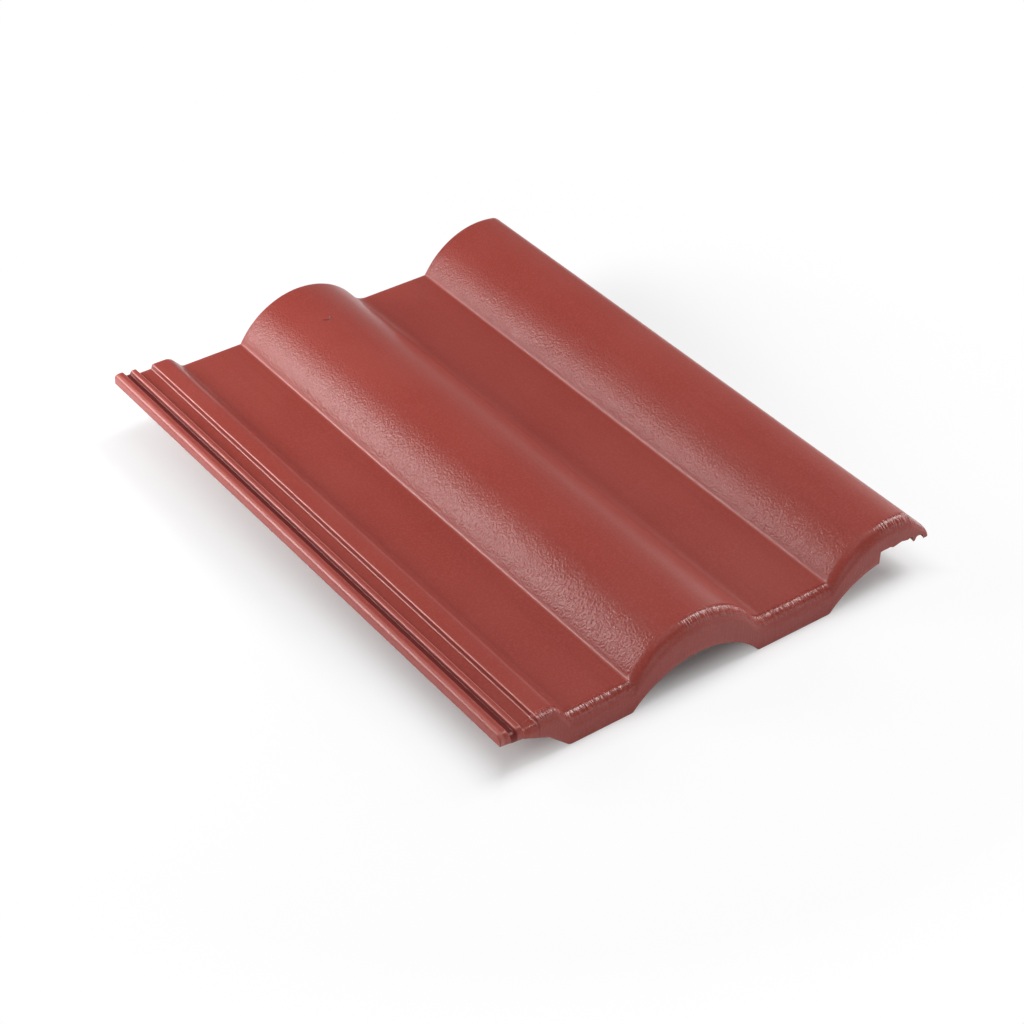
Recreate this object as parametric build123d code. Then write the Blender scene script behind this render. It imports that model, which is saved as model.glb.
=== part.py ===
from build123d import *
import math
import os

# Interlocking concrete roof tile with two rolls and a rounded eaves edge, in millimetres.
# It is drawn as it was cast: X across from the left foot of the first roll, Y from the eaves
# edge to the head, Z up from the flat of the pans. At the end it is laid on its foot and nibs.

# Outer sizes
tile_length = 420.0
cover_width = 300.0
body_thickness = 12.0

# Rolls
roll_height = 27.5
roll_width = 93.0
roll_foot_radius = 14.0
crease_radius = 1.2

# Underlock, the left edge that the next tile covers
lock_from_crown = 9.0
lock_edge_underside = 5.2
lock_underside = 2.8
outer_rib_width = 7.5
outer_rib_height = 12.3
groove_width = 4.6
groove_floor = 8.6
thin_rib_width = 3.4
thin_rib_height = 10.9
channel_width = 11.0
channel_floor = 6.8
ledge_width = 12.7
ledge_height = 9.9
ledge_radius = 9.0
lock_wall_slant = 1.2
rib_radius = 2.4
lock_radius = 0.8
ogee_width = 9.0
pan_radius = 4.0
underside_knee_from_pan = 15.5
underside_knee_share = 0.3
underside_foot_from_pan = 0.5

# Cover lock, the right edge that lies over the next tile's underlock
lock_play = 0.7
side_play = 0.9
cover_recess_room = 19.0
nose_from_riser = 5.1
nose_width = 3.8
brow_inset = 2.1
brow_height = 4.0
brow_radius = 3.0
shoulder_from_crown = 14.0
shoulder_radius = 10.0

# Rounded eaves edge, which is tighter over the underlock and bends the cover lock by a share
eaves_radius = 8.5
ledge_eaves_radius = 6.0
lock_eaves_radius = 4.0
cover_drop_share = 0.35
nose_pull_share = 0.15

# Foot behind the eaves edge, and the weather bar next to it
foot_depth = 19.5
foot_length = 30.0
foot_arch_width = 94.0
foot_arch_rise = 22.0
weather_bar_start = 41.0
weather_bar_width = 9.0
weather_bar_depth = 16.0
underside_radius = 5.0

# Hanging nibs at the head
nib_from_head = 22.0
nib_depth = 33.0
nib_width = 30.0
nib_thickness = 17.0
nib_draft = 5.0
nib_radius = 2.0

# Nail hole in the first roll, blind from beneath
nail_diameter = 6.0
nail_skin = 3.0
nail_from_head = 42.0

# Worked out from the sizes above
roll_pitch = cover_width / 2
roll_radius = (roll_height**2 + (roll_width / 2) ** 2) / (2 * roll_height)
roll_centre_z = roll_height - roll_radius
hanging_length = tile_length - nib_from_head
lock_left = roll_width / 2 + lock_from_crown - roll_pitch
rib_right = lock_left + outer_rib_width
thin_left = rib_right + groove_width
thin_right = thin_left + thin_rib_width
riser_foot = thin_right + channel_width
ledge_start = riser_foot + lock_wall_slant
ledge_end = ledge_start + ledge_width
pan_start = ledge_end + ogee_width
cover_recess_start = cover_width + lock_left - cover_recess_room
nose_right = cover_width + riser_foot - nose_from_riser
nose_left = nose_right - nose_width
nose_bottom = channel_floor + lock_play

# The tile is cut from a block that reaches lower than its nibs, and the cuts go lower still
block_bottom = -2 * nib_depth
cut_bottom = 2 * block_bottom

# How far cuts run past the tile's edges, and how near a vertex lies to the corner it is
margin = 2.0
corner_reach = 0.05


def roll_centre(roll):
    """X of the crown of roll 0 or roll 1."""
    return roll * roll_pitch + roll_width / 2


def outline(corners):
    """Face of the cross-section with the given (x, z) corners."""
    return make_face(Polyline(*corners, close=True))


def disc(x, z, radius):
    """Round face of the cross-section."""
    return Pos(x, z) * Circle(radius)


def left_part(face, x):
    """The part of a face left of x."""
    reach = roll_pitch + roll_width
    return face & (Pos(x - reach, 0) * Rectangle(2 * reach, 4 * reach))


def rounded(face, corners, radius):
    """The face with its (x, z) corners rounded."""
    chosen = [
        vertex
        for vertex in face.vertices()
        if any(math.hypot(vertex.X - x, vertex.Y - z) < corner_reach for x, z in corners)
    ]
    return fillet(chosen, radius)


def along(face, start, end):
    """The face carried along Y from start to end."""
    return extrude(Plane.XZ.offset(-start) * face, end - start, dir=(0, 1, 0))


def eaves_drop(y, radius):
    """How far a quarter round of this radius at the eaves has lowered the face at y."""
    if y >= radius:
        return 0
    return radius - math.sqrt(radius**2 - (radius - y) ** 2)


def lowered(corners, drop, pull=0):
    """The (x, z) corners moved down, and pulled in to the left."""
    return [(x - pull, z - drop) for x, z in corners]


def top_face(y):
    """Everything below the coated top surface at y, from edge to edge of the tile."""
    drop = eaves_drop(y, eaves_radius)
    lock_drop = eaves_drop(y, lock_eaves_radius)
    ledge_drop = eaves_drop(y, ledge_eaves_radius)
    circle_z = roll_centre_z - drop
    shoulder_start = roll_centre(1) + shoulder_from_crown
    shoulder = (shoulder_start, circle_z + math.sqrt(roll_radius**2 - shoulder_from_crown**2))
    outer_rib = [(lock_left, outer_rib_height), (rib_right - lock_wall_slant, outer_rib_height)]
    outer_rib = lowered(outer_rib, lock_drop)
    grooves = [
        (rib_right, groove_floor),
        (thin_left - lock_wall_slant, groove_floor),
        (thin_left, thin_rib_height),
        (thin_right, thin_rib_height),
        (thin_right + lock_wall_slant, channel_floor),
        (riser_foot, channel_floor),
    ]
    grooves = lowered(grooves, lock_drop) + [(ledge_start, ledge_height - ledge_drop)]
    ledge_corner = (ledge_end, ledge_height - ledge_drop)
    pan_corner = (pan_start, -drop)
    under_shoulder = [(roll_centre(1), -drop), (roll_centre(1), shoulder[1])]
    brow = (nose_right - brow_inset, nose_bottom + brow_height)
    below_nose = (nose_right + margin * brow_inset / brow_height, nose_bottom - margin)
    brow, below_nose = lowered([brow, below_nose], cover_drop_share * drop, nose_pull_share * drop)
    left_side = [(lock_left, block_bottom)] + outer_rib + grooves + [ledge_corner, pan_corner]
    right_side = under_shoulder + [shoulder, brow, below_nose, (below_nose[0], block_bottom)]
    face = outline(left_side + right_side)
    face += disc(roll_centre(0), circle_z, roll_radius)
    face += left_part(disc(roll_centre(1), circle_z, roll_radius), shoulder_start)
    face = rounded(face, [(roll_width, -drop)], roll_foot_radius)
    face = rounded(face, [(0, -drop), (roll_pitch, -drop)], crease_radius)
    face = rounded(face, outer_rib, rib_radius)
    face = rounded(face, grooves, lock_radius)
    face = rounded(face, [ledge_corner], ledge_radius)
    face = rounded(face, [pan_corner], pan_radius)
    face = rounded(face, [shoulder], shoulder_radius)
    return rounded(face, [brow], brow_radius)


def cover_lock_hollow(y):
    """Room under the cover lock at y: the neighbour's underlock with its play all round."""
    drop = eaves_drop(y, eaves_radius)
    rib_height = outer_rib_height + lock_play
    cover_rib = groove_floor + lock_play
    thin_height = thin_rib_height + lock_play
    roof = [
        (cover_recess_start, rib_height),
        (cover_width + rib_right, rib_height),
        (cover_width + rib_right + side_play, cover_rib),
        (cover_width + thin_left - side_play - lock_wall_slant, cover_rib),
        (cover_width + thin_left - side_play, thin_height),
    ]
    nose = [
        (nose_left - side_play, thin_height),
        (nose_left, nose_bottom),
        (nose_right + margin, nose_bottom),
    ]
    roof = lowered(roof, cover_drop_share * drop)
    nose = lowered(nose, cover_drop_share * drop, nose_pull_share * drop)
    return outline([(cover_recess_start, cut_bottom)] + roof + nose + [(nose[-1][0], cut_bottom)])


def underside_face(depth, arches):
    """Everything below an underside whose pans are depth deep, with these arches under the rolls."""
    lock_corner = (thin_right, lock_underside)
    knee = (pan_start - underside_knee_from_pan, -depth * underside_knee_share)
    pan_corner = (pan_start - underside_foot_from_pan, -depth)
    face = outline(
        [
            (lock_left - margin, cut_bottom),
            (lock_left - margin, lock_edge_underside),
            (lock_left, lock_edge_underside),
            lock_corner,
            knee,
            pan_corner,
            (nose_right + margin, -depth),
            (nose_right + margin, cut_bottom),
        ]
    )
    face += arches[0]
    face += left_part(arches[1], cover_recess_start + margin)
    return rounded(face, [lock_corner, knee, pan_corner], underside_radius)


def body_underside(depth):
    """Underside that follows the rolls at one thickness, depth below the pans."""
    arches = [disc(roll_centre(roll), roll_centre_z, roll_radius - depth) for roll in (0, 1)]
    return underside_face(depth, arches)


def foot_underside():
    """Underside of the foot, whose arches start at the bottom of the pans."""
    radius = (foot_arch_rise**2 + (foot_arch_width / 2) ** 2) / (2 * foot_arch_rise)
    centre_z = foot_arch_rise - foot_depth - radius
    return underside_face(foot_depth, [disc(roll_centre(roll), centre_z, radius) for roll in (0, 1)])


def eaves_stations():
    """Each y at which the eaves edge has turned by one more even step, from its front to the body."""
    steps = 6
    turns = [math.pi / 2 * step / steps for step in range(steps + 1)]
    return [eaves_radius * (1 - math.cos(turn)) for turn in turns]


def rounded_eaves_edge():
    """The first stretch of the tile, where the top drops to the front face in a quarter round."""
    return loft([Plane.XZ.offset(-y) * top_face(y) for y in eaves_stations()])


def cover_lock_room():
    """The hollow under the cover lock from end to end, with its roof bent down at the eaves."""
    before = along(cover_lock_hollow(0), -margin, 0)
    bend = loft([Plane.XZ.offset(-y) * cover_lock_hollow(y) for y in eaves_stations()], ruled=True)
    return before + bend + along(cover_lock_hollow(eaves_radius), eaves_radius, tile_length + margin)


def nib(x):
    """Hanging nib under the pan at x: a wedge with an upright face towards the batten."""
    root = outline(
        [
            (hanging_length, -body_thickness + margin),
            (hanging_length, -nib_depth),
            (hanging_length + nib_thickness - nib_draft, -nib_depth),
            (hanging_length + nib_thickness, -body_thickness + margin),
        ]
    )
    wedge = extrude(Plane.YZ.offset(x - nib_width / 2) * root, nib_width)
    return fillet(wedge.edges().filter_by(Axis.Z), nib_radius)


def roof_tile():
    """The whole tile, as one casting."""
    tile = rounded_eaves_edge() + along(top_face(eaves_radius), eaves_radius, tile_length)
    bar_end = weather_bar_start + weather_bar_width
    tile -= along(foot_underside(), -margin, foot_length)
    tile -= along(body_underside(body_thickness), foot_length, weather_bar_start)
    tile -= along(body_underside(weather_bar_depth), weather_bar_start, bar_end)
    tile -= along(body_underside(body_thickness), bar_end, tile_length + margin)
    tile -= cover_lock_room()
    for x in (pan_start / 2, (roll_width + roll_pitch) / 2):
        tile += nib(x)
    nail_reach = body_thickness - nail_skin + margin
    nail_hole = Cylinder(nail_diameter / 2, nail_reach, align=(Align.CENTER, Align.CENTER, Align.MAX))
    return tile - Pos(roll_centre(0), tile_length - nail_from_head, roll_height - nail_skin) * nail_hole


def resting_tilt():
    """Degrees that the nibs lift the head when the tile lies on a level floor."""
    return math.degrees(math.atan2(nib_depth - foot_depth, hanging_length))


def laid(shape):
    """The shape turned onto its foot and nibs, over the origin."""
    turned = Rot(resting_tilt(), 0, 0) * shape
    box = turned.bounding_box()
    return Pos(-box.center().X, -box.center().Y, -box.min.Z) * turned


if __name__ == "__main__":
    os.makedirs("parts", exist_ok=True)
    export_step(laid(roof_tile()), "parts/roof_tile.step")
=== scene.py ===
import math

import bmesh
import bpy
import numpy as np
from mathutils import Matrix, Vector


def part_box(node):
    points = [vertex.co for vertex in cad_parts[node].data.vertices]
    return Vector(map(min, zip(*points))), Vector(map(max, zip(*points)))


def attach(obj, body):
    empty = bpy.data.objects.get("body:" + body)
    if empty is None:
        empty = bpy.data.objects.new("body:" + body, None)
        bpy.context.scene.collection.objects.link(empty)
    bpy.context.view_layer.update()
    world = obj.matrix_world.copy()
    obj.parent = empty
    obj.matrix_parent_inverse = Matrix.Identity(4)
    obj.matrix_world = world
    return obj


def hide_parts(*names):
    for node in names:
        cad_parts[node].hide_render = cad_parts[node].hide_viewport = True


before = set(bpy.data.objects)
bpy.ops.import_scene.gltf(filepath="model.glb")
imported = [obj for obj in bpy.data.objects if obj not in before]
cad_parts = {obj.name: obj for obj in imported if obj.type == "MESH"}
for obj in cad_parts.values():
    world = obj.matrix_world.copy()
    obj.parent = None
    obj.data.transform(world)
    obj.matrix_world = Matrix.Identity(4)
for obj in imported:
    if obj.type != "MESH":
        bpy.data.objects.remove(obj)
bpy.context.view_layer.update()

# The pans and the two rolls are the face that lies to the weather, in concrete coated red. A roller
# and a slipper of this outline draw the wet concrete out over its steel pallet, so all of it runs
# straight from the eaves to the head. Metres, x from the first crease, z from the top of the pans.
tile_length = 0.420
cover_width = 0.300
roll_pitch = cover_width / 2
roll_lefts = (0, roll_pitch)
roll_height = 0.0275
roll_width = 0.093
roll_foot_radius = 0.014
crease_radius = 0.0012
roll_radius = (roll_height**2 + (roll_width / 2) ** 2) / (2 * roll_height)
roll_centre_z = roll_height - roll_radius
step_length = 0.00125
steps_in_a_corner = 4


def crown_x(roll):
    """Where the crown of roll 0 or roll 1 is."""
    return roll * roll_pitch + roll_width / 2


def swung(centre, radius, start, end):
    """Points on an arc from one angle to another, measured from straight up towards +x."""
    count = max(steps_in_a_corner, math.ceil(abs(end - start) * radius / step_length))
    angles = np.linspace(start, end, count + 1)
    return [(centre[0] + radius * math.sin(a), centre[1] + radius * math.cos(a)) for a in angles]


def roll_foot(roll, side, radius):
    """The hollow rounding where a roll meets the pan: its centre, and its angle at the roll."""
    reach = math.sqrt((roll_radius + radius) ** 2 - (radius - roll_centre_z) ** 2)
    return (crown_x(roll) + side * reach, radius), math.atan2(side * reach, radius - roll_centre_z)


def roll_points(roll, right_end):
    """The crease at the left of a roll, and the roll itself up to an angle right of its crown."""
    centre, left_end = roll_foot(roll, -1, crease_radius)
    crease = swung(centre, crease_radius, math.pi, left_end + math.pi)
    return crease + swung((crown_x(roll), roll_centre_z), roll_radius, left_end, right_end)


def first_roll_points():
    """The first roll, from its crease to the wide hollow at its right foot."""
    centre, right_end = roll_foot(0, 1, roll_foot_radius)
    return roll_points(0, right_end) + swung(centre, roll_foot_radius, right_end - math.pi, -math.pi)


# The underlock is the water lock along the left edge, of the same casting, and the tile beside it
# lies over it. The slipper draws its outer rib, groove, thin rib, channel and ledge, and the soft
# slope from the ledge down to the pan.
lock_left = -0.0945
lock_edge_underside = 0.0052
lock_underside = 0.0028
outer_rib_height = 0.0123
outer_rib_width = 0.0075
groove_floor = 0.0086
groove_width = 0.0046
thin_rib_height = 0.0109
thin_rib_width = 0.0034
channel_floor = 0.0068
channel_width = 0.011
ledge_height = 0.0099
ledge_width = 0.0127
slope_width = 0.009
wall_slant = 0.0012
rib_right = lock_left + outer_rib_width
thin_left = rib_right + groove_width
thin_right = thin_left + thin_rib_width
riser_foot = thin_right + channel_width
ledge_start = riser_foot + wall_slant
ledge_end = ledge_start + ledge_width
pan_start = ledge_end + slope_width
rib_radius = 0.0024
lock_radius = 0.0008
ledge_radius = 0.009
pan_radius = 0.004


def eased_run(corners):
    """Points along straight runs between (x, z, radius) corners, each corner rounded."""
    points = [Vector(corners[0][:2])]
    for before, corner, after in zip(corners, corners[1:], corners[2:]):
        place, radius = Vector(corner[:2]), corner[2]
        back = (Vector(before[:2]) - place).normalized()
        ahead = (Vector(after[:2]) - place).normalized()
        half = math.acos(max(-1, min(1, back.dot(ahead)))) / 2
        middle = (back + ahead).normalized()
        centre = place + middle * (radius / math.sin(half))
        first = place + back * (radius / math.tan(half)) - centre
        last = place + ahead * (radius / math.tan(half)) - centre
        start, end = math.atan2(first.x, first.y), math.atan2(last.x, last.y)
        if abs(end - start) > math.pi:
            end += math.copysign(2 * math.pi, start - end)
        points += [Vector(point) for point in swung(centre, radius, start, end)]
    points.append(Vector(corners[-1][:2]))
    return [(point.x, point.y) for point in points]


def lock_points():
    """The underlock from its lower left edge to the pan."""
    return eased_run([
        (lock_left, lock_edge_underside, 0),
        (lock_left, outer_rib_height, rib_radius),
        (rib_right - wall_slant, outer_rib_height, rib_radius),
        (rib_right, groove_floor, lock_radius),
        (thin_left - wall_slant, groove_floor, lock_radius),
        (thin_left, thin_rib_height, lock_radius),
        (thin_right, thin_rib_height, lock_radius),
        (thin_right + wall_slant, channel_floor, lock_radius),
        (riser_foot, channel_floor, lock_radius),
        (ledge_start, ledge_height, lock_radius),
        (ledge_end, ledge_height, ledge_radius),
        (pan_start, 0, pan_radius),
        (0, 0, 0),
    ])[:-1]


# The cover lock is the right edge of the casting, which lies over the neighbour's underlock. The
# slipper draws its shoulder, brow and nose, and the pallet leaves a hollow beneath that follows
# the neighbour's ribs with a little play, so that tiles seat at the cover width.
lock_play = 0.0007
side_play = 0.0009
recess_room = 0.019
nose_gap = 0.0051
nose_thickness = 0.0038
nose_lean = 0.00057
nose_radius = 0.0008
brow_back = 0.0009
brow_rise = 0.0026
brow_radius = 0.0022
shoulder_from_crown = 0.014
shoulder_radius = 0.010
recess_wall_run = 0.00012
cover_recess_start = cover_width + lock_left - recess_room
nose_right = cover_width + riser_foot - nose_gap
nose_left = nose_right - nose_thickness
nose_bottom = channel_floor + lock_play
nose_corner = (nose_right + nose_lean, nose_bottom)
brow = (nose_right - brow_back, nose_bottom + brow_rise)
far_below = -1


def shoulder_points():
    """The angle where the second roll ends, the shoulder from there to the nose's furthest point,
    and the nose from that point to its lower edge."""
    shoulder_rise = math.sqrt(roll_radius**2 - shoulder_from_crown**2)
    shoulder = Vector((crown_x(1) + shoulder_from_crown, roll_centre_z + shoulder_rise))
    run = Vector(brow) - shoulder
    lean = math.atan2(-run.y, run.x)
    level = Vector((math.sin(lean), math.cos(lean)))
    roll_centre = Vector((crown_x(1), roll_centre_z))
    inner = roll_radius - shoulder_radius
    start = lean - math.acos((-shoulder_radius - level.dot(roll_centre - shoulder)) / inner)
    centre = roll_centre + inner * Vector((math.sin(start), math.cos(start)))
    bend = swung(centre, shoulder_radius, start, lean)
    nose = eased_run([
        bend[-1] + (0,),
        brow + (brow_radius,),
        nose_corner + (nose_radius,),
        (nose_left, nose_bottom, 0),
    ])
    furthest = max(range(len(nose)), key=lambda k: nose[k][0])
    return start, bend + nose[:furthest + 1], nose[furthest:]


roll_end_angle, shoulder_to_nose, nose_underneath = shoulder_points()
hollow = [
    (cover_recess_start, far_below),
    (cover_recess_start + recess_wall_run, outer_rib_height + lock_play),
    (cover_width + rib_right, outer_rib_height + lock_play),
    (cover_width + rib_right + side_play, groove_floor + lock_play),
    (cover_width + thin_left - side_play - wall_slant, groove_floor + lock_play),
    (cover_width + thin_left - side_play, thin_rib_height + lock_play),
    (nose_left - side_play, thin_rib_height + lock_play),
] + nose_underneath[::-1]

# The eaves edge is the front of the casting and is coated as the face is. It is rolled over while
# the concrete is green, in a quarter round that is tighter over the underlock than over the pans
# and rolls, and it bends the cover lock down and its nose in by a share of its drop.
eaves_radius = 0.0085
ledge_eaves_radius = 0.006
lock_eaves_radius = 0.004
cover_drop_share = 0.35
nose_pull_share = 0.15


def eaves_drop(y, radius):
    """How far a quarter round of this radius has lowered the face at y."""
    run = np.clip(radius - y, 0, radius)
    return radius - np.sqrt(radius**2 - run**2)


# The underside is bare concrete in the shape of the steel pallet: an even body with an arch under
# each roll, a deep foot at the eaves with two low arches, and behind it a weather bar, which stops
# rain that is driven up the roof.
body_thickness = 0.012
foot_depth = 0.0195
foot_end = 0.030
foot_arch_width = 0.094
foot_arch_rise = 0.022
arch_corner = 0.0011
arch_past_recess = 0.002
weather_bar_start = 0.041
weather_bar_end = 0.050
weather_bar_depth = 0.016
underside_radius = 0.005
knee_before_pan = 0.0155
knee_share = 0.3
pan_foot_lead = 0.0005
step_draft = 0.0005
foot_arch_radius = (foot_arch_rise**2 + (foot_arch_width / 2) ** 2) / (2 * foot_arch_rise)
arch_end = cover_recess_start + arch_past_recess


def slab_corners(depth):
    """A plain underside: a slope under the lock, then down to the bottom of the pans."""
    return eased_run([
        (lock_left, lock_edge_underside, 0),
        (thin_right, lock_underside, underside_radius),
        (pan_start - knee_before_pan, -depth * knee_share, underside_radius),
        (pan_start - pan_foot_lead, -depth, underside_radius),
        (nose_right, -depth, 0),
    ])


def arch_z(x, roll, centre_z, radius):
    """Height of the arch under a roll, far below everything where there is no arch."""
    away = np.abs(x - crown_x(roll))
    inside = (away < radius) & ((roll == 0) | (x <= arch_end))
    rise = np.sqrt(np.maximum(radius**2 - away**2, 0))
    return np.where(inside, centre_z + rise, far_below)


def higher(first, second, blend):
    """The higher of two levels, with a soft corner where they cross."""
    near = np.maximum(blend - np.abs(first - second), 0) / blend
    return np.maximum(first, second) + near * near * blend / 4


def underside_z(x, y, depth, centre_z, radius):
    """Height of the underside at x and y, for pans this deep and arches of this circle."""
    level = np.interp(x, *zip(*slab_corners(depth)))
    for roll in (0, 1):
        level = higher(level, arch_z(x, roll, centre_z, radius), arch_corner)
    room = np.interp(x, *zip(*hollow), left=far_below)
    return np.maximum(level, room - cover_drop_share * eaves_drop(y, eaves_radius))


def ramp(values, start, end):
    """0 before start, 1 after end, and eased between."""
    share = np.clip((values - start) / (end - start), 0, 1)
    return share * share * (3 - 2 * share)


def underside_surface(x, y):
    """Height of the underside at every x and y: body, foot at the eaves, weather bar behind it."""
    body = underside_z(x, y, body_thickness, roll_centre_z, roll_radius - body_thickness)
    foot_centre_z = foot_arch_rise - foot_depth - foot_arch_radius
    foot = underside_z(x, y, foot_depth, foot_centre_z, foot_arch_radius)
    bar = underside_z(x, y, weather_bar_depth, roll_centre_z, roll_radius - weather_bar_depth)
    foot_share = 1 - ramp(y, foot_end - step_draft, foot_end + step_draft)
    bar_share = ramp(y, weather_bar_start - step_draft, weather_bar_start + step_draft)
    bar_share = bar_share - ramp(y, weather_bar_end - step_draft, weather_bar_end + step_draft)
    return body + foot_share * (foot - body) + bar_share * (bar - body)


def underside_stations():
    """The x of each place where the underside turns."""
    corners = hollow + slab_corners(foot_depth) + slab_corners(body_thickness)
    places = [x for x, z in corners] + [arch_end, arch_end + recess_wall_run]
    body_arch_half = math.sqrt(
        (roll_radius - body_thickness) ** 2 - (roll_centre_z + body_thickness) ** 2)
    for roll in (0, 1):
        for half in (foot_arch_width / 2, body_arch_half):
            places += [crown_x(roll) - half, crown_x(roll) + half * (roll == 0)]
    return places


# Two nibs cast under the head hang the tile on its batten. A nail hole in the first roll stops under
# the face, and is knocked through where a roof needs nails. Pockets and a pin in the pallet shape
# them in the same concrete.
nib_face = 0.398
nib_bottom = -0.033
nib_width = 0.030
nib_thickness = 0.017
nib_draft = 0.005
nib_radius = 0.003
nib_edge = 0.0012
nib_places = (pan_start / 2, (roll_width + roll_pitch) / 2)
nail_from_head = 0.042
nail_cover = 0.003
nail_radius = 0.003
nail_place = (crown_x(0), tile_length - nail_from_head)

# Each level gives its z, where None stays on the underside, how much wider it is than the boss
# or hole, and how far its back has come in.
nib_levels = [
    (None, nib_edge, 0),
    (-body_thickness - nib_edge, 0, nib_draft * 0.1),
    (nib_bottom + nib_edge, 0, nib_draft * 0.95),
    (nib_bottom + nib_edge * 0.3, -nib_edge * 0.3, nib_draft * 0.98),
    (nib_bottom, -nib_edge, nib_draft),
]
nail_levels = [(None, 0, 0), (roll_height - nail_cover, 0, 0)]


def nib_and_nail_stations():
    """The x of each side of the nibs and of the nail hole."""
    places = [middle + side for middle in nib_places for side in (-nib_width / 2, nib_width / 2)]
    return places + [nail_place[0] - nail_radius, nail_place[0] + nail_radius]


def draw_out(body, region, middle, half_x, half_y, levels, radius):
    """Draws faces of the underside out into a boss or a hole with rounded upright corners, and
    takes away the faces that this leaves inside."""
    rim = {
        vert for edge in {edge for face in region for edge in face.edges}
        if sum(link in region for link in edge.link_faces) == 1 for vert in edge.verts}
    placed = [(vert, levels[0]) for vert in rim]
    inside = []
    for level in levels[1:]:
        inside += region
        made = bmesh.ops.extrude_face_region(body, geom=region)["geom"]
        region = [item for item in made if isinstance(item, bmesh.types.BMFace)]
        placed += [(item, level) for item in made if isinstance(item, bmesh.types.BMVert)]
    for vert, (z, wider, back) in placed:
        reach_x, reach_y = half_x + wider, half_y + wider - back / 2
        x = (vert.co.x - middle[0]) / half_x * reach_x
        y = (vert.co.y - middle[1]) / half_y * reach_y
        corner = Vector((abs(x) - reach_x + radius, abs(y) - reach_y + radius))
        if corner.x > 0 and corner.y > 0 and corner.length > radius:
            corner = corner.normalized() * radius
            x = math.copysign(reach_x - radius + corner.x, x)
            y = math.copysign(reach_y - radius + corner.y, y)
        vert.co = (middle[0] + x, middle[1] + y - back / 2, vert.co.z if z is None else z)
    bmesh.ops.delete(body, geom=inside, context="FACES")


# The casting is the whole tile in one closed skin: face, underside, and the front and head faces
# where the wet concrete was cut to length. The slipper leaves the rolls swaying by a tenth of a
# millimetre, and the cut leaves crumbs along the lower front edge of the cover lock.
eaves_steps = 12
head_steps = 3
cut_face_steps = 4
under_row_every = 4
row_length = 0.0029
head_edge = 0.0008
bottom_edge = 0.0006
hairline = 1e-7
step_slack = 1e-6
weld_distance = 2e-6
sliver_length = 1e-6
no_area = 1e-12
roll_ease = 0.003
foot_ease_start = 0.086
foot_ease_end = 0.104
sway_depth = 0.00012
sway_across = 0.018
sway_along = 0.037
sway_start = 40
sway_seed = 7
crumb_depth = 0.0014
crumb_level = 0.3
crumb_pitch = 0.0024
crumb_start = 20
crumb_seed = 5
crumb_ease = 0.001
crumb_stop = nose_left - 0.002
grain_cells = 512


def spread(points):
    """The outline with its long straight stretches divided into even steps."""
    out = [points[0]]
    for (x0, z0), (x1, z1) in zip(points, points[1:]):
        count = math.ceil(math.hypot(x1 - x0, z1 - z0) / step_length - step_slack)
        shares = [k / count for k in range(1, count + 1)]
        out += [(x0 + (x1 - x0) * share, z0 + (z1 - z0) * share) for share in shares]
    return out


outline = spread(
    lock_points() + first_roll_points() + roll_points(1, roll_end_angle) + shoulder_to_nose)
stations = [x for x in underside_stations() + nib_and_nail_stations() if lock_left < x < hollow[-1][0]]
stations = [x for x in stations if min(abs(x - px) for px, pz in outline) > hairline]
for x in stations:
    after = next(k for k, (px, pz) in enumerate(outline) if px > x)
    (x0, z0), (x1, z1) = outline[after - 1], outline[after]
    outline.insert(after, (x, z0 + (z1 - z0) * (x - x0) / (x1 - x0)))
face_x, face_z = (np.array(values) for values in zip(*outline))
across = len(face_x)

# The rows run from the front to the head, close together round the eaves edge, and there is one at
# each y where the underside, the nibs or the nail hole turn.
step_turns = (-step_draft, -step_draft / 3, step_draft / 3, step_draft)
turning_rows = [
    edge + turn for edge in (foot_end, weather_bar_start, weather_bar_end) for turn in step_turns]
turning_rows += [nib_face, nib_face + nib_thickness]
turning_rows += [nail_place[1] - nail_radius, nail_place[1] + nail_radius]
even_rows = np.linspace(eaves_radius, tile_length - head_edge, round(tile_length / row_length))
even_rows = [y for y in even_rows if all(abs(y - turn) > row_length / 3 for turn in turning_rows)]
long_rows = np.array(sorted(even_rows + turning_rows))
eaves_rows = eaves_radius * (1 - np.cos(np.linspace(0, math.pi / 2, eaves_steps + 1)))
head_turns = np.linspace(0, math.pi / 2, head_steps + 1)[1:]
head_rows = tile_length - head_edge + head_edge * np.sin(head_turns)
rows_y = np.concatenate([eaves_rows, long_rows[1:], head_rows])
head_drop = np.concatenate([
    np.zeros(len(rows_y) - len(head_rows)), head_edge * (1 - np.cos(head_turns))])

# How far the eaves edge lowers each point of the face and pulls it in.
past_riser = np.interp(face_x, (riser_foot, ledge_start), (0, 1))
past_ledge = np.interp(face_x, (ledge_end, pan_start), (0, 1))
past_shoulder = np.interp(face_x, (crown_x(1) + shoulder_from_crown, brow[0]), (0, 1))
full_drop = eaves_drop(rows_y, eaves_radius)
top_drop = np.outer(1 - past_riser, eaves_drop(rows_y, lock_eaves_radius))
top_drop += np.outer(past_riser - past_ledge, eaves_drop(rows_y, ledge_eaves_radius))
top_drop += np.outer(past_ledge * (1 - (1 - cover_drop_share) * past_shoulder), full_drop)
top_x = face_x[:, None] - np.outer(past_shoulder * nose_pull_share, full_drop)
top_y = np.tile(rows_y, (across, 1))
top_under = np.stack([underside_surface(face_x, y) for y in rows_y], axis=1)
top_z = np.maximum(face_z[:, None] - top_drop - head_drop, top_under)
thickness = top_z[:, 0] - top_under[:, 0]


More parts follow.
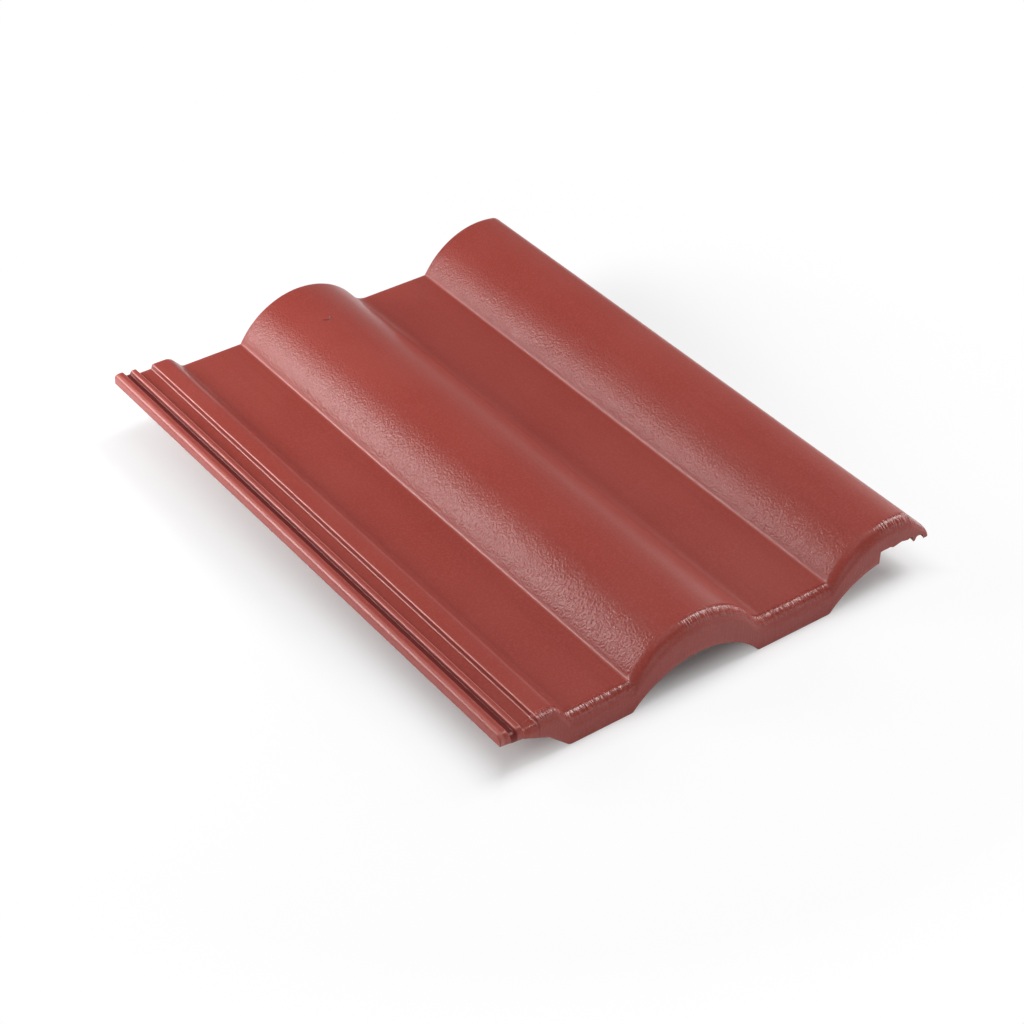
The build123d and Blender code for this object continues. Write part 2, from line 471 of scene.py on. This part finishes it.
def grain(u, v, seed):
    """Smooth random numbers from 0 to 1 over the plane, with a cell for each whole u and v."""
    cells = np.random.default_rng(seed).random((grain_cells, grain_cells))
    u0, v0 = np.floor(u).astype(int), np.floor(v).astype(int)
    du, dv = ramp(u - u0, 0, 1), ramp(v - v0, 0, 1)
    left, right = u0 % grain_cells, (u0 + 1) % grain_cells
    front, back = v0 % grain_cells, (v0 + 1) % grain_cells
    near = cells[left, front] * (1 - du) + cells[right, front] * du
    far = cells[left, back] * (1 - du) + cells[right, back] * du
    return near * (1 - dv) + far * dv


def outward(points):
    """Unit normals of a grid of points whose first index runs along +x and second along +y."""
    normal = np.cross(np.gradient(points, axis=0), np.gradient(points, axis=1))
    return normal / np.maximum(np.linalg.norm(normal, axis=2, keepdims=True), no_area)


def band(values, start, full, fading, end):
    """0 before start, 1 from full to fading, 0 again after end."""
    return ramp(values, start, full) * (1 - ramp(values, fading, end))


def on_rolls(x):
    """1 on the rolls, 0 on pans and locks, eased over the feet of the rolls."""
    share = np.zeros_like(x)
    for left in roll_lefts:
        roll = ramp(x, left, left + roll_ease)
        share = np.maximum(share, roll * (1 - ramp(x, left + foot_ease_start, left + foot_ease_end)))
    return share


girth = np.concatenate([[0], np.cumsum(np.hypot(np.diff(face_x), np.diff(face_z)))])
sway = grain(girth[:, None] / sway_across + sway_start, top_y / sway_along + sway_start, sway_seed)
free_to_sway = on_rolls(face_x)
free_to_sway[-1] = 0
top_points = np.stack([top_x, top_y, top_z], axis=2)
top_points = top_points - outward(top_points) * (sway_depth * sway * free_to_sway[:, None])[:, :, None]
top_points[:, :, 2] = np.maximum(top_points[:, :, 2], top_under)

# The underside has fewer rows. Each runs beneath one of the face's, and the first three round its
# front edge, where the crumbs hang.
face_row_count = len(rows_y)
long_row_count = len(long_rows)
kept_rows = [
    eaves_steps + k for k in range(1, long_row_count)
    if min(abs(long_rows[k] - turn) for turn in turning_rows) < hairline or k % under_row_every == 0]
under_rows = [0, 1, 2] + kept_rows + [face_row_count - 2, face_row_count - 1]
edge_turns = (math.pi / 2, math.pi / 4, 0)
edge_round = np.minimum(bottom_edge, thickness / 3)
crumbs = grain(face_x / crumb_pitch + crumb_start, np.zeros(across), crumb_seed) - crumb_level
crumbs *= crumb_depth * band(
    face_x, cover_recess_start, cover_recess_start + crumb_ease, crumb_stop - 2 * crumb_ease, crumb_stop)
under_columns = []
for number, row in enumerate(under_rows):
    if number < len(edge_turns):
        y = edge_round * (1 - math.sin(edge_turns[number]))
        z = underside_surface(face_x, y) + edge_round * (1 - math.cos(edge_turns[number])) - crumbs
    else:
        y = top_points[:, row, 1]
        z = underside_surface(face_x, y)
    x = face_x - past_shoulder * nose_pull_share * eaves_drop(y, eaves_radius)
    under_columns.append(np.stack([x, y, z], axis=1))
under_points = np.stack(under_columns, axis=1)

coated, bare = 0, 1
tile_points, tile_faces, finishes = [], [], []


def lay_points(grid):
    """Adds a grid of points to the casting and returns their numbers."""
    start = len(tile_points)
    tile_points.extend(grid.reshape(-1, 3).tolist())
    return start + np.arange(grid.shape[0] * grid.shape[1]).reshape(grid.shape[:2])


def lay_quads(at, material, turned):
    """Adds the quads of a grid of point numbers, turned over where asked."""
    for i in range(at.shape[0] - 1):
        for j in range(at.shape[1] - 1):
            quad = [at[i, j], at[i + 1, j], at[i + 1, j + 1], at[i, j + 1]]
            tile_faces.append([int(point) for point in (reversed(quad) if turned else quad)])
            finishes.append(material)


def lay_cut_face(end, material, turned):
    """Adds the cut face at the front, 0, or at the head, -1. Beside the upright left edge it is
    one face with all of that edge's points."""
    shares = np.linspace(0, 1, cut_face_steps + 1)[1:-1]
    upper, lower = top_points[:, end], under_points[:, end]
    cut_at = lay_points(np.stack([upper + (lower - upper) * share for share in shares], axis=1))
    cut_at = np.hstack([top_at[:, end][:, None], cut_at, under_at[:, end][:, None]])
    lay_quads(cut_at[wall_top + 1:], material, turned)
    corner = list(cut_at[wall_top + 1]) + list(top_at[:wall_top + 1, end])
    tile_faces.append([int(point) for point in (reversed(corner) if turned else corner)])
    finishes.append(material)


# The casting's left edge is upright: the face's points from 0 to wall_top stand in one line.
wall_top = np.count_nonzero(face_x < lock_left + hairline) - 1
top_at = lay_points(top_points)
under_at = lay_points(under_points)
under_at[0] = top_at[0, under_rows]
under_at[-1] = top_at[-1, under_rows]
lay_quads(top_at, coated, False)
lay_cut_face(0, coated, True)
lay_cut_face(-1, bare, False)
under_faces = {}
for i in range(wall_top, across - 1):
    for k, (near, far) in enumerate(zip(under_rows, under_rows[1:])):
        left = [under_at[i, k], under_at[i, k + 1]]
        right = [under_at[i + 1, k], under_at[i + 1, k + 1]]
        if i == wall_top:
            left = list(top_at[0, near:far + 1])
        if i == across - 2:
            right = list(top_at[-1, near:far + 1])
        under_faces[i, k] = len(tile_faces)
        tile_faces.append([int(point) for point in left + right[::-1]])
        finishes.append(bare)

tile_mesh = bpy.data.meshes.new("roof_tile_casting")
tile_mesh.from_pydata(tile_points, [], tile_faces)
tile_mesh.polygons.foreach_set("material_index", finishes)
body = bmesh.new()
body.from_mesh(tile_mesh)
laid_faces = list(body.faces)


def faces_beneath(middle, half_x, half_y):
    """The faces of the underside within a rectangle."""
    return [
        laid_faces[number] for (i, k), number in under_faces.items()
        if abs((face_x[i] + face_x[i + 1]) / 2 - middle[0]) < half_x
        and abs((under_points[i, k, 1] + under_points[i, k + 1, 1]) / 2 - middle[1]) < half_y]


for place in nib_places:
    nib = ((place, nib_face + nib_thickness / 2), nib_width / 2, nib_thickness / 2)
    draw_out(body, faces_beneath(*nib), *nib, nib_levels, nib_radius)
nail = (nail_place, nail_radius, nail_radius)
draw_out(body, faces_beneath(*nail), *nail, nail_levels, nail_radius)
bmesh.ops.remove_doubles(body, verts=body.verts[:], dist=weld_distance)
bmesh.ops.dissolve_degenerate(body, dist=sliver_length, edges=body.edges[:])
loose = [vert for vert in body.verts if not vert.link_faces]
bmesh.ops.delete(body, geom=loose, context="VERTS")

# The cured tile lies on its foot and its two nibs, as it does on a bench, with its head a little
# up. It fills the CAD model's box.
sharp_angle = math.radians(38)
tilt = math.atan2(-nib_bottom - foot_depth, nib_face)
cosine, sine = math.cos(tilt), math.sin(tilt)
cad_low, cad_high = (Vector(corner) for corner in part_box("roof_tile"))
laid_front = (eaves_radius - roll_height) * sine
laid_back = tile_length * cosine + body_thickness * sine
shift = Vector((
    (cad_low.x + cad_high.x - lock_left - nose_right) / 2,
    (cad_low.y + cad_high.y - laid_front - laid_back) / 2,
    cad_low.z + foot_depth * cosine,
))
for vert in body.verts:
    x, y, z = vert.co
    vert.co = Vector((x, y * cosine - z * sine, y * sine + z * cosine)) + shift
body.to_mesh(tile_mesh)
body.free()

roof_tile = bpy.data.objects.new("roof_tile_casting", tile_mesh)
bpy.context.scene.collection.objects.link(roof_tile)
tile_mesh.polygons.foreach_set("use_smooth", [True] * len(tile_mesh.polygons))
tile_mesh.set_sharp_from_angle(angle=sharp_angle)
tile_mesh.validate()

# The coating is a satin red paint, sprayed on the green concrete over the face and the front. It
# skins over as it dries, so it wrinkles like leather up the left of the rolls, and it is combed
# into short glossy strokes over the eaves edge. A faint crescent, dented by a bump and darkened
# with painted shade, shows where the nail hole stops.
coat_red = (0.300, 0.045, 0.034)
coat_speck = (0.365, 0.080, 0.064)
coat_dark = (0.255, 0.036, 0.027)
coat_dusty = (0.326, 0.060, 0.047)
# The last two colours are painted light. The pale one is a painted highlight for the lock's rounded edges,
# the outer rib's crown, the creases and the ledge's edge. The dark one is painted shade for the groove, the
# riser and the nail mark.
coat_highlight = (0.60, 0.235, 0.205)
coat_shade = (0.17, 0.020, 0.016)
coat_roughness = 0.33
pool_roughness = 0.19
coat_shine = 0.45
pool_shine = 0.85
front_shine = 0.8

# Each spread gives the values at which the second colour starts and is full, and then its least
# and its most share.
mottle_scale = 16.0
mottle_detail = 5.0
mottle_spread = (0.35, 0.68, 0, 0.6)
streak_scale = (220, 4, 60)
streak_detail = 3.0
streak_spread = (0.45, 0.75, 0, 0.3)
speck_scale = 720.0
speck_detail = 3.0
speck_spread = (0.42, 0.70, 0, 0.5)
wrinkle_scale = 680.0
wrinkle_detail = 2.0
wrinkle_distortion = 0.3
wrinkle_depth = 0.0006
bead_scale = (800, 70, 70)
bead_detail = 1.0
bead_depth = 0.0016
peel_scale = 800.0
peel_detail = 3.0
peel_depth = 0.00004
peel_strength = 0.5
# A thin line of painted highlight runs along the ledge's right edge.
ledge_highlight_reach = (ledge_end - 0.0012, ledge_end - 0.0005, ledge_end + 0.0002, ledge_end + 0.0008)
ledge_highlight_share = 0.14
nail_mark_place = (nail_place[0] - 0.0043, nail_place[1] + 0.0006)
nail_mark_ring = (0.0018, 0.0028, 0.0030, 0.0040)
nail_mark_fading = (nail_mark_place[1] - 0.0015, nail_mark_place[1] + 0.0005)
nail_mark_depth = 0.0006
nail_mark_share = 0.85


def feed(material, node, sockets):
    """Fills sockets of a node: an output is linked, a number or a colour is set."""
    for socket, value in sockets.items():
        if isinstance(value, bpy.types.NodeSocket):
            material.node_tree.links.new(value, node.inputs[socket])
        else:
            node.inputs[socket].default_value = value


def add(material, kind, sockets, **settings):
    """A node of this kind, with its settings made and its sockets filled."""
    node = material.node_tree.nodes.new(kind)
    for setting, value in settings.items():
        setattr(node, setting, value)
    feed(material, node, sockets)
    return node


def new_finish(name):
    """An empty material and its shader."""
    material = bpy.data.materials.new(name)
    material.use_nodes = True
    material.node_tree.nodes.clear()
    return material, add(material, "ShaderNodeBsdfPrincipled", {})


def stretched(material, scale):
    """The tile's own coordinates, in metres, multiplied by a scale for each axis."""
    place = add(material, "ShaderNodeTexCoord", {}).outputs["Object"]
    return add(material, "ShaderNodeMapping", {"Vector": place, "Scale": scale}).outputs["Vector"]


def noise(material, place, scale, detail, distortion=0.0):
    """Soft random values from 0 to 1 through the tile."""
    sockets = {"Vector": place, "Scale": scale, "Detail": detail, "Distortion": distortion}
    return add(material, "ShaderNodeTexNoise", sockets).outputs["Fac"]


def painted(material, name):
    """The share of a mark that is painted on the casting's points."""
    return add(material, "ShaderNodeAttribute", {}, attribute_name=name).outputs["Fac"]


def mix_colours(material, share, first, second):
    """The first colour where share is 0, the second where it is 1."""
    first, second = (value + (1,) if isinstance(value, tuple) else value for value in (first, second))
    return add(material, "ShaderNodeMix", {0: share, 6: first, 7: second}, data_type="RGBA").outputs[2]


def curved(material, source, low, high, out_low=0.0, out_high=1.0):
    """A value carried from one range to another, eased at both ends."""
    ranges = {"From Min": low, "From Max": high, "To Min": out_low, "To Max": out_high}
    node = add(material, "ShaderNodeMapRange", {"Value": source, **ranges}, interpolation_type="SMOOTHSTEP")
    return node.outputs["Result"]


def reckon(material, operation, *values):
    """A sum worked out on values and numbers."""
    return add(material, "ShaderNodeMath", dict(enumerate(values)), operation=operation).outputs[0]


def between(material, source, start, full, fading, end, most=1.0):
    """0 before start, most from full to fading, 0 again after end."""
    rising = curved(material, source, start, full, 0, most)
    return reckon(material, "MULTIPLY", rising, curved(material, source, fading, end, 1, 0))


def bump(material, height, depth, strength=1.0, **under):
    """Raises the surface by a height, over what is raised already."""
    sockets = {"Height": height, "Distance": depth, "Strength": strength, **under}
    return add(material, "ShaderNodeBump", sockets).outputs["Normal"]


coating, coat_shader = new_finish("red_satin_coating")
own = stretched(coating, (1, 1, 1))
mottle = noise(coating, own, mottle_scale, mottle_detail)
streak = noise(coating, stretched(coating, streak_scale), 1.0, streak_detail)
speck = noise(coating, own, speck_scale, speck_detail)
across_at, along_at = painted(coating, "across"), painted(coating, "along")
past_edge = painted(coating, "past_edge")
# Painted highlight along the ledge's right edge, behind the eaves edge.
ledge_highlight = between(coating, across_at, *ledge_highlight_reach, ledge_highlight_share)
ledge_highlight = reckon(coating, "MULTIPLY", ledge_highlight, past_edge)
spot = add(coating, "ShaderNodeCombineXYZ", {"X": across_at, "Y": along_at}).outputs["Vector"]
from_mark = add(
    coating, "ShaderNodeVectorMath", {0: spot, 1: nail_mark_place + (0,)}, operation="DISTANCE")
nail_mark = between(coating, from_mark.outputs["Value"], *nail_mark_ring)
nail_mark = reckon(coating, "MULTIPLY", nail_mark, curved(coating, along_at, *nail_mark_fading, 1, 0))
nail_shade = reckon(coating, "MULTIPLY", nail_mark, nail_mark_share)
colour = mix_colours(coating, curved(coating, mottle, *mottle_spread), coat_red, coat_dusty)
colour = mix_colours(coating, curved(coating, streak, *streak_spread), colour, coat_dark)
colour = mix_colours(coating, curved(coating, speck, *speck_spread), colour, coat_speck)
# Painted highlights on the lock's edges, the rib, the creases and the ledge go on first, then painted shade
# in the groove, on the riser and in the nail mark.
colour = mix_colours(coating, painted(coating, "painted_highlight"), colour, coat_highlight)
colour = mix_colours(coating, ledge_highlight, colour, coat_highlight)
colour = mix_colours(coating, painted(coating, "shaded"), colour, coat_shade)
colour = mix_colours(coating, nail_shade, colour, coat_shade)

pool_share = painted(coating, "pooled")
shine = curved(coating, pool_share, 0, 1, coat_shine, pool_shine)
shine = reckon(coating, "MULTIPLY", shine, curved(coating, past_edge, 0, 1, front_shine, 1))
leather = noise(coating, own, wrinkle_scale, wrinkle_detail, wrinkle_distortion)
leather = reckon(coating, "MULTIPLY", leather, painted(coating, "wrinkled"))
beads = noise(coating, stretched(coating, bead_scale), 1.0, bead_detail)
beads = reckon(coating, "MULTIPLY", beads, painted(coating, "beaded"))
relief = bump(coating, leather, wrinkle_depth)
relief = bump(coating, beads, bead_depth, Normal=relief)
relief = bump(coating, nail_mark, -nail_mark_depth, Normal=relief)
relief = bump(coating, noise(coating, own, peel_scale, peel_detail), peel_depth, peel_strength, Normal=relief)
feed(coating, coat_shader, {
    "Base Color": colour,
    "Roughness": curved(coating, pool_share, 0, 1, coat_roughness, pool_roughness),
    "Specular IOR Level": shine,
    "Normal": relief,
})
add(coating, "ShaderNodeOutputMaterial", {"Surface": coat_shader.outputs["BSDF"]})
tile_mesh.materials.append(coating)

# The bare concrete of the underside and of the head face is dyed through in the same red. It comes
# off the pallet dull and cloudy, with pale grit and open pores.
concrete_pale = (0.300, 0.150, 0.120)
concrete_dark = (0.190, 0.085, 0.068)
concrete_roughness = 0.85
cloud_scale = 35.0
cloud_detail = 6.0
cloud_spread = (0.3, 0.7, 0.35, 0.75)
grit_scale = 1000.0
grit_detail = 4.0
grit_spread = (0.5, 0.75, 0, 0.6)
pore_depth = 0.0002
pore_strength = 0.7

concrete, concrete_shader = new_finish("bare_red_concrete")
own = stretched(concrete, (1, 1, 1))
cloud = curved(concrete, noise(concrete, own, cloud_scale, cloud_detail), *cloud_spread)
grit = noise(concrete, own, grit_scale, grit_detail)
colour = mix_colours(concrete, cloud, concrete_dark, concrete_pale)
colour = mix_colours(concrete, curved(concrete, grit, *grit_spread), colour, concrete_pale)
feed(concrete, concrete_shader, {
    "Base Color": colour,
    "Roughness": concrete_roughness,
    "Normal": bump(concrete, grit, pore_depth, pore_strength),
})
add(concrete, "ShaderNodeOutputMaterial", {"Surface": concrete_shader.outputs["BSDF"]})
tile_mesh.materials.append(concrete)

# The marks of the coating lie where its making left them: wrinkles up the rolls' left flanks,
# strokes over the eaves edge, and paint pooled in creases and corners. Painted highlights lie on
# the lock's rounded corners, the outer rib's crown and the creases, and painted shade lies in the
# groove and on the riser. Each reach is measured from its own place.
wrinkle_least = 0.12
wrinkle_reach = (0, 0.001, 0.018, 0.036)
wrinkle_front = (0.004, 0.012)
wrinkle_head = (0.20, 0.40)
wrinkle_head_loss = 0.35
wrinkle_on_pans = 0.10
stroke_rows = (0.0006, 0.0024, 0.0064, 0.0090)
stroke_heights = (-0.009, -0.006)
smooth_flank_reach = (-0.001, 0.002, 0.028, 0.042)
front_beads = 0.12
front_bead_rows = (0.0002, 0.0012)
crease_pool = 0.35
crease_pool_reach = (-0.0012, -0.0006, 0, 0.0006)
corner_pool = 0.3
corner_pool_reach = (-0.0016, -0.0008, 0.0008, 0.0016)
stroke_pool = 0.8
behind_front = (0.002, 0.007)
rib_highlight = 0.4
rib_highlight_reach = (0.0003, 0.0009, 0.0022, 0.0032)
corner_highlight = 0.8
corner_highlight_reach = (0.0003, 0.0006)
crease_highlight = 0.4
crease_highlight_reach = (-0.0010, -0.0004, 0.0001, 0.0006)
groove_shade = (rib_right - 0.0008, rib_right + 0.0006, thin_left - 0.0010, thin_left + 0.0002)
groove_shade_top = (thin_rib_height - 0.0014, thin_rib_height - 0.0006)
riser_shade_share = 0.8
riser_shade = (riser_foot + 0.0001, riser_foot + 0.0004, ledge_start - 0.0006, ledge_start - 0.0002)
edge_rows = (0.0005, 0.006)

spots = np.empty(len(tile_mesh.vertices) * 3)
tile_mesh.vertices.foreach_get("co", spots)
spots = spots.reshape(-1, 3) - np.array(shift)
spot_x = spots[:, 0]
spot_y = spots[:, 1] * cosine + spots[:, 2] * sine
spot_z = spots[:, 2] * cosine - spots[:, 1] * sine


def around(place, reach):
    """A band of points across the tile, at a reach from a place."""
    return band(spot_x, *(place + step for step in reach))


wrinkled = sum(around(left, wrinkle_reach) for left in roll_lefts)
wrinkled = wrinkle_least + (1 - wrinkle_least) * wrinkled
wrinkled *= on_rolls(spot_x) * ramp(spot_y, *wrinkle_front)
wrinkled *= 1 - wrinkle_head_loss * ramp(spot_y, *wrinkle_head)
wrinkled += wrinkle_on_pans * (1 - on_rolls(spot_x)) * ramp(spot_x, ledge_start, ledge_end)

strokes = band(spot_y, *stroke_rows) * ramp(spot_x, thin_right, riser_foot) * ramp(spot_z, *stroke_heights)
for left in roll_lefts:
    strokes *= 1 - around(left, smooth_flank_reach)

pooled = np.zeros_like(spot_x)
for place in roll_lefts:
    pooled = np.maximum(pooled, crease_pool * around(place, crease_pool_reach))
for place in (thin_right, riser_foot, ledge_start):
    pooled = np.maximum(pooled, corner_pool * around(place, corner_pool_reach))
pooled = np.maximum(pooled * ramp(spot_y, *behind_front), stroke_pool * strokes)

# Painted highlight: a band on the outer rib's crown, lines along the lock's rounded corners, and lines along
# the creases.
painted_highlight = rib_highlight * around(lock_left, rib_highlight_reach)
for place, height in ((thin_left, thin_rib_height), (thin_right, thin_rib_height),
                      (riser_foot, channel_floor), (ledge_start, ledge_height)):
    away = np.hypot(spot_x - place, spot_z - height)
    painted_highlight = np.maximum(painted_highlight, corner_highlight - corner_highlight * ramp(away, *corner_highlight_reach))
for place in roll_lefts:
    crease = around(place, crease_highlight_reach) * ramp(spot_y, *behind_front)
    painted_highlight = np.maximum(painted_highlight, crease_highlight * crease)

# Painted shade in the groove and on the riser's wall.
shaded = band(spot_x, *groove_shade) * (1 - ramp(spot_z, *groove_shade_top))
shaded += riser_shade_share * band(spot_x, *riser_shade)

marks = {
    "wrinkled": wrinkled,
    "beaded": strokes + front_beads * (1 - ramp(spot_y, *front_bead_rows)),
    "pooled": pooled,
    "painted_highlight": painted_highlight,
    "shaded": shaded,
    "across": spot_x,
    "along": spot_y,
    "past_edge": ramp(spot_y, *edge_rows),
}
for name, values in marks.items():
    tile_mesh.attributes.new(name, "FLOAT", "POINT").data.foreach_set("value", values)

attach(roof_tile, "root")
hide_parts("roof_tile")

# The floor is a matt white studio board that the tile lies on. It keeps the tile's shadow. To the
# camera alone it glows white away from the tile, so that it runs on into the surround. Just outside
# the tile's edges, more in front than behind, that glow paints light over the tile's shadow.
floor_half = 3.0
floor_white = (0.92, 0.92, 0.93, 1)
floor_roughness = 0.9
floor_shine = 0.1
tile_half_width = 0.16
tile_half_length = 0.21
near_glow = (-0.019, 0.018)
near_glow_rows = (-0.20, 0.20, 0.85, 0.35)
far_glow = (0.20, 0.46)

floor_corners = [(-1, -1), (1, -1), (1, 1), (-1, 1)]
floor_mesh = bpy.data.meshes.new("floor")
floor_mesh.from_pydata([(x * floor_half, y * floor_half, 0) for x, y in floor_corners], [], [(0, 1, 2, 3)])
floor = bpy.data.objects.new("floor", floor_mesh)
bpy.context.scene.collection.objects.link(floor)


def past(material, source, half):
    """How far a coordinate lies past half a width, below zero inside it."""
    return reckon(material, "SUBTRACT", reckon(material, "ABSOLUTE", source), half)


floor_paint, floor_shader = new_finish("floor_white")
feed(floor_paint, floor_shader, {
    "Base Color": floor_white,
    "Roughness": floor_roughness,
    "Specular IOR Level": floor_shine,
})
floor_place = add(floor_paint, "ShaderNodeTexCoord", {}).outputs["Object"]
floor_axes = add(floor_paint, "ShaderNodeSeparateXYZ", {"Vector": floor_place}).outputs
past_side = past(floor_paint, floor_axes["X"], tile_half_width)
past_end = past(floor_paint, floor_axes["Y"], tile_half_length)
past_tile = reckon(floor_paint, "MAXIMUM", past_side, past_end)
# Near the tile the camera-only glow lightens the tile's shadow as painted light, most in front.
near_share = curved(floor_paint, past_tile, *near_glow)
near_share = reckon(
    floor_paint, "MULTIPLY", near_share, curved(floor_paint, floor_axes["Y"], *near_glow_rows))
from_middle = add(floor_paint, "ShaderNodeVectorMath", {0: floor_place}, operation="LENGTH")
far_share = curved(floor_paint, from_middle.outputs["Value"], *far_glow)
glow_share = reckon(floor_paint, "MAXIMUM", near_share, far_share)
seen = add(floor_paint, "ShaderNodeLightPath", {}).outputs["Is Camera Ray"]
floor_glow = add(floor_paint, "ShaderNodeEmission", {"Color": (1, 1, 1, 1), "Strength": 1.0})
floor_blend = add(floor_paint, "ShaderNodeMixShader", {
    0: reckon(floor_paint, "MULTIPLY", seen, glow_share),
    1: floor_shader.outputs["BSDF"],
    2: floor_glow.outputs["Emission"],
})
add(floor_paint, "ShaderNodeOutputMaterial", {"Surface": floor_blend.outputs["Shader"]})
floor_mesh.materials.append(floor_paint)

# The surround is the white studio round the tile. It lights softly, more from low down than from
# above, and the camera sees it as plain white.
low_light = 0.5
high_light = 0.12
low_height = 0.12
high_height = 0.42

surround = bpy.data.worlds.new("surround")
bpy.context.scene.world = surround
surround.use_nodes = True
surround.node_tree.nodes.clear()
towards = add(surround, "ShaderNodeTexCoord", {}).outputs["Generated"]
upwards = add(surround, "ShaderNodeSeparateXYZ", {"Vector": towards}).outputs["Z"]
light = curved(surround, upwards, low_height, high_height, low_light, high_light)
seen = add(surround, "ShaderNodeLightPath", {}).outputs["Is Camera Ray"]
strength = add(surround, "ShaderNodeMix", {"Factor": seen, "A": light, "B": 1.0}).outputs["Result"]
glow = add(surround, "ShaderNodeBackground", {"Color": (1, 1, 1, 1), "Strength": strength})
add(surround, "ShaderNodeOutputWorld", {"Surface": glow.outputs["Background"]})

# The lamps are softboxes on stands. The key and the fill stand to the right, a wide one hangs above,
# a low one behind on the left rakes the rolls' left flanks, and one in front lights the front face.
tile_middle = (0, 0, 0.03)


def softbox(name, place, aim, width, height, watts):
    """A rectangular lamp that faces a point."""
    lamp = bpy.data.lights.new(name, "AREA")
    lamp.shape = "RECTANGLE"
    lamp.size, lamp.size_y, lamp.energy = width, height, watts
    holder = bpy.data.objects.new(name, lamp)
    holder.location = place
    holder.rotation_euler = (Vector(aim) - Vector(place)).to_track_quat("-Z", "Y").to_euler()
    bpy.context.scene.collection.objects.link(holder)


softbox("key_softbox", place=(1.0, -0.15, 1.7), aim=tile_middle, width=0.8, height=1.0, watts=19)
softbox("overhead_softbox", place=(-0.35, -0.1, 1.8), aim=(0, 0, 0), width=1.4, height=1.4, watts=4)
softbox("right_fill", place=(1.7, 0.15, 0.7), aim=tile_middle, width=1.2, height=1.0, watts=11.5)
softbox("back_left_softbox", place=(-0.60, 0.50, 0.37), aim=(-0.02, -0.04, 0.03),
        width=0.52, height=0.40, watts=6.1)
softbox("front_fill", place=(-0.6, -2.0, 0.8), aim=tile_middle, width=1.4, height=1.0, watts=6)

# The camera stands where the photograph was taken from, looking down on the eaves edge and the
# underlock. Its place and lens were found by fitting it to the tile's straight edges.
camera_azimuth = math.radians(-36.6366)
camera_elevation = math.radians(36.2343)
camera_distance = 1.5618
camera_aim = Vector((-0.00342, -0.00918, -0.00416))
camera_back = Vector((
    math.sin(camera_azimuth) * math.cos(camera_elevation),
    -math.cos(camera_azimuth) * math.cos(camera_elevation),
    math.sin(camera_elevation)))
camera = bpy.data.objects.new("camera", bpy.data.cameras.new("camera"))
camera.data.lens = 87.01
camera.data.sensor_width = 36
camera.location = camera_aim + camera_distance * camera_back
camera.rotation_euler = (-camera_back).to_track_quat("-Z", "Y").to_euler()
bpy.context.scene.collection.objects.link(camera)
bpy.context.scene.camera = camera
bpy.context.scene.view_settings.view_transform = "Standard"
